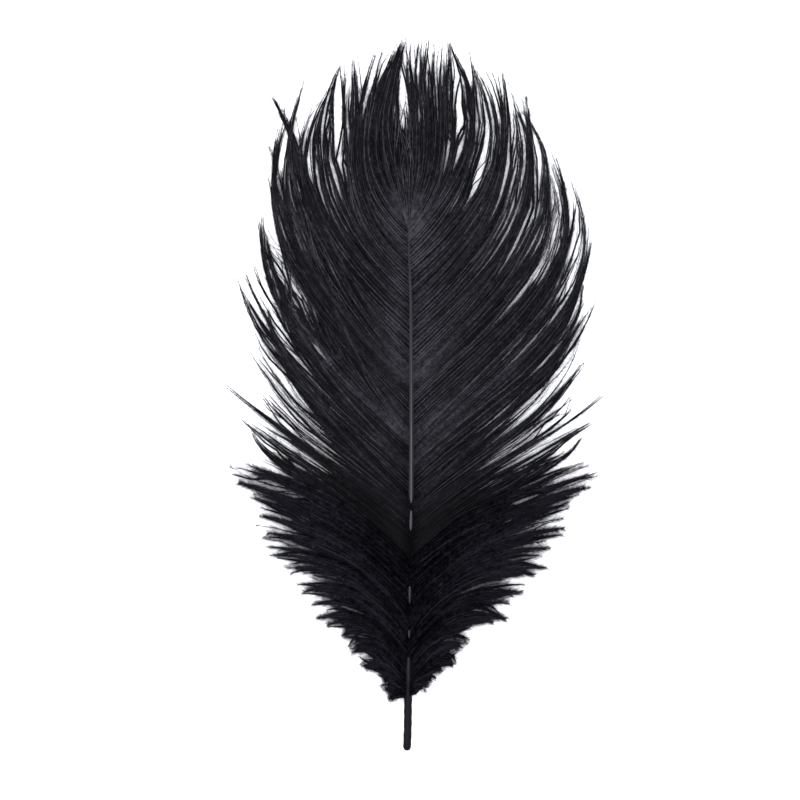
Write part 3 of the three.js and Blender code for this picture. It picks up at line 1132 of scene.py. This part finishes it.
LEFT_VANE_STRANDS = (
    Strand(216, 2, 283, 7, -10, (0.40, 0.40)),
    Strand(215.4, 2.4, 282, 22, -18, (0.40, 0.40)),
    Strand(214.5, 3.6, 282.5, 34, -19, (0.40, 0.38)),
    Strand(213, 4.4, 281.5, 44, -20),
    Strand(209.5, 7, 279, 48, -26, (0.42, 0.40)),
    Strand(205, 12, 277.5, 50, -16, (0.42, 0.40)),
    Strand(201, 14.5, 277, 50, -22, (0.42, 0.40)),
    Strand(197, 21, 275, 50, 6, (0.42, 0.44)),
    Strand(193, 23, 276, 50, 2),
    Strand(189, 25.5, 270.5, 50, -4),
    Strand(185.5, 28.5, 274.5, 50, 8),
    Strand(181.5, 29, 272, 48, -18),
    Strand(177.5, 30.5, 270, 48, -24),
    Strand(173, 32.5, 264.5, 48, -32),
    Strand(168, 33, 264, 48, -40),
    Strand(163, 58, 264, 46, 36, (0.42, 0.30)),
    Strand(159, 55.5, 260.5, 46, 30, (0.42, 0.30)),
    Strand(154.5, 43.5, 264, 46, -18),
    Strand(149.5, 51, 249, 43, -18, (0.38, 0.42)),
    Strand(145, 53, 246.5, 42, -14, (0.37, 0.42)),
    Strand(140.5, 57, 241, 42, 30, (0.36, 0.24)),
    Strand(136, 59.5, 209, 46, -4, (0.42, 0.36)),
    Strand(132, 61.5, 214, 46, 6, (0.42, 0.40)),
    Strand(128.5, 57, 201.5, 46, 14, (0.42, 0.30)),
    Strand(125, 65, 187, 46, 22, (0.42, 0.36)),
    Strand(121, 69.5, 189, 46, 14, (0.40, 0.38)),
    Strand(117.5, 65, 179, 46, 34, (0.40, 0.34)),
    Strand(114, 57, 177.5, 46, 4, (0.40, 0.26)),
    Strand(110.5, 62, 164, 46, 24, (0.40, 0.36)),
    Strand(107, 64, 158.5, 46, 30, (0.38, 0.36)),
    Strand(103, 57.5, 139, 48, 34, (0.38, 0.30)),
    Strand(99.5, 73, 145, 48, 50, (0.38, 0.36)),
    Strand(96.5, 67, 133, 48, 58, (0.38, 0.38)),
    Strand(93, 67.5, 132, 48, 54, (0.38, 0.38)),
    Strand(90, 63, 126.5, 48, 22, (0.40, 0.28)),
    Strand(87, 58, 120, 48, 72, (0.38, 0.38)),
    Strand(85.5, 61, 116.5, 48, 70, (0.38, 0.38)),
    Strand(84, 65, 113, 47, 71, (0.38, 0.38)),
)
RIGHT_VANE_STRANDS = (
    Strand(216, -5.2, 281, 4, -16, (0.40, 0.36)),
    Strand(215.6, -2.2, 283.5, 8, -4, (0.40, 0.36)),
    Strand(214.8, 0.8, 282.5, 12, -2, (0.38, 0.36)),
    Strand(214, 4, 283.5, 20, 8, (0.38, 0.38)),
    Strand(212.5, 6.5, 283.5, 28, 6, (0.38, 0.38)),
    Strand(211, 9, 283, 34, 0, (0.40, 0.40)),
    Strand(209, 12.5, 282, 38, 2, (0.40, 0.40)),
    Strand(206.5, 15, 280.5, 42, 2, (0.42, 0.40)),
    Strand(204, 16.5, 280, 44, -28, (0.44, 0.44)),
    Strand(201, 20.5, 276, 46, -20, (0.42, 0.40)),
    Strand(197.5, 24, 277.5, 48, -6, (0.42, 0.40)),
    Strand(193, 25, 272, 49, -26),
    Strand(189, 27.5, 271, 50, -30),
    Strand(184, 30.5, 272.5, 48, -26),
    Strand(180, 34.5, 270.5, 48, -12),
    Strand(175.5, 37, 269.5, 48, -8),
    Strand(171, 39.5, 264, 48, -16),
    Strand(166, 41, 259, 48, -30),
    Strand(161, 46.5, 259, 46, -6),
    Strand(156, 45, 255, 46, -36),
    Strand(150.5, 56.5, 229, 46, -18, (0.42, 0.36)),
    Strand(145.5, 57, 233, 46, -24, (0.42, 0.38)),
    Strand(141, 57.5, 236, 46, -22),
    Strand(137, 66.5, 218, 44, 6, (0.38, 0.34)),
    Strand(133, 65, 226.5, 44, -24, (0.38, 0.42)),
    Strand(128.5, 71.5, 201.5, 46, 10, (0.42, 0.40)),
    Strand(124, 68.5, 183, 46, 6, (0.40, 0.34)),
    Strand(120.5, 69.5, 181, 46, 18, (0.40, 0.34)),
    Strand(117, 75, 183.5, 46, 16, (0.40, 0.42)),
    Strand(113.5, 70.5, 175.5, 46, 32, (0.40, 0.34)),
    Strand(110, 67.5, 163, 46, 16, (0.40, 0.34)),
    Strand(106.5, 69.5, 156.5, 46, 34, (0.38, 0.36)),
    Strand(103, 63, 137.5, 48, 40, (0.38, 0.30)),
    Strand(99.5, 78, 142.5, 48, 52, (0.38, 0.38)),
    Strand(96.5, 72.5, 131.5, 48, 60, (0.38, 0.38)),
    Strand(93, 73, 131, 48, 60, (0.38, 0.38)),
    Strand(90, 68.5, 125.5, 48, 26, (0.40, 0.28)),
    Strand(87, 63, 119, 48, 72, (0.38, 0.38)),
    Strand(85.5, 67.5, 115, 48, 70, (0.38, 0.38)),
    Strand(84, 73, 110.5, 47, 70, (0.38, 0.38)),
)
TUFT_STRANDS = (
    Strand(208, -6.6, 262, -16, 0),
    Strand(209.5, -6.0, 256, -14, 4),
    Strand(211, -5.2, 250, -10, 4),
    Strand(214, -4.3, 243, -6, 2),
    Strand(216, -3.6, 240, 0, 2),
    Strand(214.5, -2.9, 246, 2, -4),
    Strand(212, -2.0, 255, 4, -6),
    Strand(209, -1.2, 262, 8, -8),
)
DOWN_BOW = (0.36, 0.42)


def down_strands(rows: tuple[tuple[float, ...], ...]) -> tuple[Strand, ...]:
    """Make the down's strands, which all have one bow, from their mark, out, along, leave and lean."""
    return tuple(Strand(*row, DOWN_BOW) for row in rows)


LEFT_DOWN_STRANDS = down_strands((
    (86, 63, 117, 46, 70),
    (84, 66.5, 114.5, 46, 70),
    (82, 71.5, 113, 46, 76),
    (78.5, 71, 107, 44, 78),
    (76.5, 67, 107, 44, 72),
    (73.5, 66, 104, 42, 74),
    (69.5, 64.5, 101, 42, 71),
    (65.5, 62.5, 97.5, 38, 72),
    (62, 61, 93.5, 38, 80),
    (58.5, 60.5, 89.5, 33, 84),
    (56.5, 59, 87, 32, 84),
    (54.5, 58, 85, 32, 88),
    (52.5, 56.5, 81, 32, 90),
    (50, 55, 77.5, 32, 94),
    (47.5, 52.5, 73.5, 32, 96),
    (45.6, 48, 70.5, 32, 97),
    (43.5, 45.5, 67, 32, 98),
    (41, 43.5, 63, 34, 100),
    (38, 40, 58.5, 34, 105),
    (34.5, 38, 52.5, 36, 112),
    (33, 33.5, 50, 36, 108),
    (31, 27, 45, 40, 108),
    (29, 25, 41, 42, 112),
    (27.5, 23, 39, 45, 112),
    (25.5, 19, 33, 50, 118),
    (24.5, 14, 29.5, 54, 120),
    (23, 11.5, 25.5, 60, 130),
    (21.5, 8.5, 19.5, 80, 145),
))
RIGHT_DOWN_STRANDS = down_strands((
    (86, 70, 114, 46, 70),
    (84, 74.5, 111, 46, 70),
    (81, 72.5, 105.5, 46, 74),
    (78, 69, 105.5, 44, 72),
    (74.5, 68, 103, 44, 74),
    (70.5, 65.5, 100, 42, 71),
    (66.5, 63.5, 97, 38, 72),
    (62, 62.5, 93, 38, 80),
    (59, 61, 88.5, 33, 84),
    (57, 59.5, 86, 32, 84),
    (55, 58, 84, 32, 88),
    (52.5, 56.5, 80.5, 32, 90),
    (50, 55, 77, 32, 94),
    (47, 53.5, 73, 32, 96),
    (45.2, 49, 70, 32, 97),
    (43.2, 45.5, 66.5, 32, 98),
    (41, 44.5, 63, 34, 100),
    (38, 40.5, 58.5, 34, 105),
    (34.5, 38, 52.5, 36, 110),
    (33.5, 32.5, 51, 36, 104),
    (32, 28, 50.5, 38, 98),
    (29.5, 23, 42.5, 42, 110),
    (28, 21, 40.5, 44, 112),
    (26, 17, 34, 48, 116),
    (24.5, 11.5, 31, 50, 110),
    (23.5, 8.5, 28, 54, 115),
    (22, 5.5, 22, 70, 140),
))
LEFT_DOWN_PARTINGS = (
    Parting(80.6, 0.72, 1, 4.6),
    Parting(79, 0.58, 0.88, 3),
    Parting(70, 0.66, 0.94, 2),
    Parting(64.5, 0.7, 0.94, 1.6),
)
RIGHT_DOWN_PARTINGS = (
    Parting(83, 0.78, 1, 4.6),
    Parting(82.8, 0.54, 0.82, 3),
    Parting(71.3, 0.68, 0.96, 2),
    Parting(62.5, 0.7, 0.96, 1.6),
)
LEFT_VANE_PARTINGS = (
    Parting(215.7, 0.45, 0.7, 1.2),
    Parting(213.6, 0.18, 0.42, 0.5),
    Parting(213.5, 0.9, 1, 1),
    Parting(211, 0.88, 1, 1.2),
    Parting(209, 0.42, 0.68, 1.5),
    Parting(207, 0.86, 1, 1.6),
    Parting(206.3, 0.16, 0.35, 1.4),
    Parting(203, 0.84, 1, 2.6),
    Parting(198, 0.85, 1, 2.2),
    Parting(193.6, 0.74, 0.95, 0.6),
    Parting(187.5, 0.61, 0.68, 0.8),
    Parting(187.5, 0.7, 0.76, 0.8),
    Parting(184.8, 0.55, 0.66, 0.9),
    Parting(182, 0.68, 0.97, 2.6),
    Parting(172.6, 0.56, 0.82, 1.6),
    Parting(165.5, 0.74, 1, 4.7),
    Parting(161, 0.6, 0.68, 1.6),
    Parting(161, 0.71, 0.79, 2),
    Parting(157, 0.87, 1, 2.5),
    Parting(153.8, 0.48, 0.7, 3),
    Parting(152.4, 0.66, 0.9, 2.8),
    Parting(126, 0.7, 1, 3.2),
    Parting(123, 0.74, 1, 2),
    Parting(111, 0.66, 1, 1.2),
    Parting(107.5, 0.66, 1, 3),
    Parting(102.5, 0.68, 1, 3.2),
    Parting(96, 0.66, 1, 2.6),
    Parting(91.5, 0.7, 1, 1.6),
)
LEFT_VANE_THINNINGS = (
    Thinning(203.5, 1.5, 0.78, 1, 0.3),
    Thinning(179, 3, 0.48, 0.7, 0.6),
    Thinning(168, 3, 0.5, 0.72, 0.55),
    Thinning(160, 2.5, 0.55, 0.85, 0.4),
    Thinning(149.6, 2.4, 0.5, 0.78, 0.4),
    Thinning(145, 3.5, 0.6, 0.93, 0.25),
    Thinning(140.3, 3.2, 0.5, 1, 0.2),
    Thinning(131, 3.2, 0.64, 0.9, 0.15),
    Thinning(121, 2, 0.6, 0.95, 0.35),
    Thinning(117.5, 2, 0.5, 0.92, 0.45),
    Thinning(109, 3.5, 0.4, 1, 0.2),
    Thinning(103.5, 2.4, 0.38, 0.95, 0.3),
    Thinning(96, 2.4, 0.5, 1, 0.25),
)
RIGHT_VANE_PARTINGS = (
    Parting(215.1, 0.9, 1, 1),
    Parting(214.2, 0.5, 0.69, 1.6),
    Parting(213.3, 0.9, 1, 1.1),
    Parting(211.7, 0.91, 1, 1.1),
    Parting(210, 0.88, 1, 1.1),
    Parting(208, 0.9, 1, 1.1),
    Parting(206.4, 0.4, 0.96, 1.2),
    Parting(205.2, 0.38, 0.96, 1.8),
    Parting(201, 0.66, 0.8, 2.1),
    Parting(201, 0.88, 1, 2.4),
    Parting(197.8, 0.52, 0.82, 1.2),
    Parting(196.7, 0.2, 0.42, 0.8),
    Parting(193.5, 0.36, 1, 2),
    Parting(187, 0.61, 0.68, 0.8),
    Parting(185, 0.77, 1, 2.2),
    Parting(184.6, 0.24, 0.46, 1.3),
    Parting(173, 0.69, 0.83, 1.8),
    Parting(169.5, 0.52, 0.72, 1),
    Parting(161.5, 0.61, 0.68, 1),
    Parting(164, 0.88, 1, 1.3),
    Parting(159, 0.4, 0.75, 0.8),
    Parting(158, 0.85, 1, 1.2),
    Parting(153, 0.7, 1, 3),
    Parting(150, 0.66, 1, 3.5),
    Parting(146.5, 0.64, 0.86, 2.2),
    Parting(135.5, 0.72, 1, 1.5),
    Parting(133, 0.66, 1, 2.4),
    Parting(127.5, 0.7, 1, 1.6),
    Parting(119, 0.7, 1, 1.5),
    Parting(111.5, 0.6, 1, 1.2),
    Parting(108.5, 0.65, 1, 2.8),
    Parting(103, 0.66, 1, 3.2),
    Parting(96.5, 0.6, 1, 2.6),
    Parting(91.5, 0.78, 1, 1.6),
)
RIGHT_VANE_THINNINGS = (
    Thinning(207.5, 1.5, 0.3, 0.6, 0.5),
    Thinning(201, 2.5, 0.42, 0.82, 0.3),
    Thinning(193.5, 1.8, 0.3, 0.98, 0.4),
    Thinning(178, 3, 0.35, 0.6, 0.6),
    Thinning(171, 2, 0.4, 0.75, 0.5),
    Thinning(151, 6, 0.52, 1, 0.3),
    Thinning(133, 2.8, 0.58, 1, 0.3),
    Thinning(125, 2, 0.48, 0.96, 0.4),
    Thinning(110, 3, 0.42, 1, 0.2),
    Thinning(103.5, 2.4, 0.33, 0.95, 0.3),
    Thinning(97, 2.3, 0.38, 0.98, 0.25),
)


@dataclass
class Vane:
    """One side's vane: long barbs that part into curved strands, and a tuft of short ones at the shaft's end.

    light and dark are the colours that its barbs lie between.
    """

    side: Side
    strands: tuple[Strand, ...]
    partings: tuple[Parting, ...]
    thinnings: tuple[Thinning, ...]
    tuft: tuple[Strand, ...]
    seed: int
    light: tuple[float, float, float]
    dark: tuple[float, float, float] = (0.0012, 0.0012, 0.0018)
    specular: float = 0.04
    form: BarbForm = field(
        default_factory=lambda: BarbForm(
            count=420,
            width=(0.34, 0.4, 0.5, 0.52, 0.4, 0.14),
            ground_width=(0.9, 1.0, 1.1, 0.85, 0.55, 0.16),
            thickness=0.3,
            gather_from=((84, 0.6), (195, 0.62), (208, 0.8), (216, 0.86)),
            gather=(0.25, 0.9),
            reach=1.03,
            trim=0.24,
            drift=0.4,
            arch=0.4,
            sink=1.1,
            tip_height=0.4,
            layer=0.6,
            meander=0.45,
            wander=0.07,
            lock_painted_shade=0.06,
            cracks=24,
            crowd=(
                (132, 1.0), (136, 1.45), (142, 1.45), (147, 1.0), (153, 1.0), (156, 1.35), (160, 1.35),
                (164, 1.0), (196, 1.0), (206, 1.5), (216, 2.2),
            ),
            root_tone=(
                (84, 0.9), (128, 0.9), (140, 1.15), (152, 1.7), (165, 2.3), (196, 2.3), (216, 1.2),
            ),
            root_reach=0.18,
            shade=(
                (84, 0.25), (92, 0.3), (101, 0.45), (113, 0.85), (126, 1.0), (192, 1.05), (206, 1.3),
                (262, 1.0),
            ),
        )
    )
    barbules: BarbuleForm = field(
        default_factory=lambda: BarbuleForm(
            count=24000,
            length=(2.0, 3.0, 2.0),
            width=0.11,
            angle=(15.0, 46.0),
            tip_angle=(10.0, 40.0),
            rise=0.1,
            soft_angle=10.0,
        )
    )
    wisps: WispForm = field(
        default_factory=lambda: WispForm(
            count=800, length=(8.0, 22.0), stray=2.2, width=0.14, start=(0.3, 0.85)
        )
    )

    def build(self) -> list[bpy.types.Object]:
        """Make the vane's lower and upper halves and put them in the CAD vane's place.

        Returns:
            The two pieces.
        """
        name = f"{self.side.name.lower()}_vane"
        bed = BarbBed(self.side, self.strands, self.partings, self.thinnings, self.form, self.seed)
        tuft = self._tuft()
        finish = BarbFinish(f"{name}_barbs", dark=self.dark, light=self.light, specular=self.specular)
        material = finish.material()
        pieces = []
        middle = bed.count // 2
        for half, first, last in (("lower", 0, middle), ("upper", middle, bed.count)):
            parts = [
                bed.ribbons(first, last),
                bed.barbules(first, last, self.barbules),
                bed.wisps(first, last, self.wisps),
            ]
            if half == "upper":
                parts.append(tuft.ribbons(0, tuft.count))
            piece = make_piece(f"{name}_{half}", parts, material)
            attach(piece, "root")
            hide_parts(name)
            pieces.append(piece)
        return pieces

    def _tuft(self) -> BarbBed:
        """Lay out the short barbs that stand up from the shaft's end, with a seed of their own.

        Returns:
            The bed of the tuft's barbs.
        """
        form = replace(
            self.form,
            count=40,
            drift=0.6,
            trim=0.4,
            cracks=0,
            arch=1.4,
            tip_height=2.0,
            # The tuft's locks are painted in stronger shade and light, and its tips lighter, as painted light
            # over the recess that it lies in.
            lock_painted_shade=0.2,
            tip_painted_light=1.8,
        )
        return BarbBed(Side.RIGHT, self.tuft, (), (), form, self.seed + 1)


@dataclass
class Down:
    """One side's down: short soft barbs that droop outward over the base of the vane."""

    side: Side
    strands: tuple[Strand, ...]
    partings: tuple[Parting, ...]
    seed: int
    finish: BarbFinish = field(
        default_factory=lambda: BarbFinish(
            "down_barbs", dark=(0.0003, 0.0003, 0.0006), light=(0.0136, 0.0128, 0.0172), specular=0.0
        )
    )
    form: BarbForm = field(
        default_factory=lambda: BarbForm(
            count=190,
            width=(0.45, 0.5, 0.55, 0.5, 0.4, 0.16),
            ground_width=(1.0, 1.4, 1.5, 1.35, 1.0, 0.2),
            thickness=0.3,
            gather_from=((20, 0.86), (50, 0.84), (62, 0.72), (72, 0.62), (90, 0.56)),
            gather=(0.5, 1.0),
            reach=1.01,
            trim=0.18,
            drift=0.8,
            arch=4.0,
            sink=1.4,
            tip_height=0.8,
            layer=1.0,
            meander=0.8,
            wander=0.1,
            lock_painted_shade=0.16,
            # The down's tips are painted lighter, as painted light where light shows through its fuzz.
            tip_painted_light=3.2,
            root_tone=((20, 1.1), (60, 0.9), (90, 0.6)),
            root_reach=0.5,
            segments=12,
        )
    )
    barbules: BarbuleForm = field(
        default_factory=lambda: BarbuleForm(
            count=38000,
            length=(2.4, 3.0, 2.8),
            width=0.12,
            angle=(18.0, 58.0),
            tip_angle=(14.0, 52.0),
            rise=0.3,
            outer=1.6,
            tone=0.3,
        )
    )
    wisps: WispForm = field(
        default_factory=lambda: WispForm(
            count=350, length=(6.0, 16.0), stray=2.5, width=0.16, start=(0.4, 0.95)
        )
    )

    def build(self) -> list[bpy.types.Object]:
        """Make the down's piece and put it in the CAD down's place.

        Returns:
            The piece, in a list.
        """
        name = f"{self.side.name.lower()}_down"
        bed = BarbBed(self.side, self.strands, self.partings, (), self.form, self.seed)
        parts = [
            bed.ribbons(0, bed.count),
            bed.barbules(0, bed.count, self.barbules),
            bed.wisps(0, bed.count, self.wisps),
        ]
        piece = make_piece(f"{name}_barbs", parts, self.finish.material())
        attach(piece, "root")
        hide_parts(name)
        return [piece]


# ------------------------------------------------------------------------------------------- studio


@dataclass
class Studio:
    """A plain pale floor, soft light from above and a camera looking straight down."""

    floor_size: float = 6.0
    floor_drop: float = 0.00005
    camera_height: float = 1.6
    lens: float = 180.0
    aim_side: float = -0.0068
    aim_along: float = -0.002
    world_strength: float = 1.0
    light_colour: tuple[float, float, float] = (0.94, 0.955, 1.0)
    overhead_power: float = 78.0
    overhead_size: float = 2.0
    overhead_height: float = 2.2
    key_power: float = 14.0
    key_size: float = 0.6
    key_place: tuple[float, float, float] = (-0.9, 0.7, 1.1)
    world_colour: tuple[float, float, float] = (0.97, 0.97, 1.0)

    def build(self) -> None:
        """Lay the floor, hang the lights and set the camera."""
        self._floor()
        self._world()
        self._light("overhead", (0.0, 0.0, self.overhead_height), self.overhead_size, self.overhead_power)
        self._light("key", self.key_place, self.key_size, self.key_power)
        self._camera()
        bpy.context.scene.view_settings.view_transform = "Standard"

    def _floor(self) -> None:
        """Make the floor as one flat square just under the plume."""
        half = self.floor_size / 2.0
        corners = [(-half, -half), (half, -half), (half, half), (-half, half)]
        mesh = bpy.data.meshes.new("floor")
        mesh.from_pydata([(x, y, -self.floor_drop) for x, y in corners], [], [(0, 1, 2, 3)])
        mesh.materials.append(FloorFinish().material())
        floor = bpy.data.objects.new("floor", mesh)
        bpy.context.scene.collection.objects.link(floor)

    def _world(self) -> None:
        """Fill the surroundings with even light, the faintest bit blue."""
        world = bpy.data.worlds.new("studio")
        world.use_nodes = True
        background = world.node_tree.nodes["Background"]
        background.inputs["Color"].default_value = (*self.world_colour, 1.0)
        background.inputs["Strength"].default_value = self.world_strength
        bpy.context.scene.world = world

    def _light(self, name: str, place: tuple[float, float, float], size: float, power: float) -> None:
        """Hang a square soft light that faces the middle of the plume.

        Args:
            name: The light's name.
            place: Where it hangs, in metres.
            size: The length of its side, in metres.
            power: Its power, in watts.
        """
        data = bpy.data.lights.new(name, "AREA")
        data.size = size
        data.energy = power
        data.color = self.light_colour
        light = bpy.data.objects.new(name, data)
        light.location = place
        x, y, z = place
        light.rotation_euler = (math.atan2(math.hypot(x, y), z), 0.0, math.atan2(y, x) + 0.5 * math.pi)
        bpy.context.scene.collection.objects.link(light)

    def _camera(self) -> None:
        """Look straight down on the plume with its quill towards the bottom of the view."""
        data = bpy.data.cameras.new("camera")
        data.lens = self.lens
        camera = bpy.data.objects.new("camera", data)
        camera.location = (self.aim_side, self.aim_along, self.camera_height)
        bpy.context.scene.collection.objects.link(camera)
        bpy.context.scene.camera = camera


# ------------------------------------------------------------------------------------------- the plume


def report(pieces: list[bpy.types.Object]) -> None:
    """Log each piece's name and triangle count.

    Args:
        pieces: The pieces to report.
    """
    for piece in pieces:
        corners = len(piece.data.loops)
        LOG.info("%s: %d triangles", piece.name, corners - 2 * len(piece.data.polygons))


def main() -> None:
    """Build the plume and its studio, piece by piece."""
    logging.basicConfig(level=logging.INFO, format="%(name)s: %(message)s")
    Studio().build()
    report([Shaft().build()])
    left_vane = Vane(
        Side.LEFT,
        LEFT_VANE_STRANDS,
        LEFT_VANE_PARTINGS,
        LEFT_VANE_THINNINGS,
        TUFT_STRANDS,
        seed=11,
        light=(0.038, 0.036, 0.0445),
    )
    # The right vane's light colour is paler than the left's, as painted light for the brighter sheen on that
    # side.
    right_vane = Vane(
        Side.RIGHT,
        RIGHT_VANE_STRANDS,
        RIGHT_VANE_PARTINGS,
        RIGHT_VANE_THINNINGS,
        TUFT_STRANDS,
        seed=23,
        light=(0.043, 0.0405, 0.05),
    )
    report(left_vane.build())
    report(right_vane.build())
    report(Down(Side.LEFT, LEFT_DOWN_STRANDS, LEFT_DOWN_PARTINGS, seed=37).build())
    report(Down(Side.RIGHT, RIGHT_DOWN_STRANDS, RIGHT_DOWN_PARTINGS, seed=41).build())


if __name__ == "__main__":
    main()
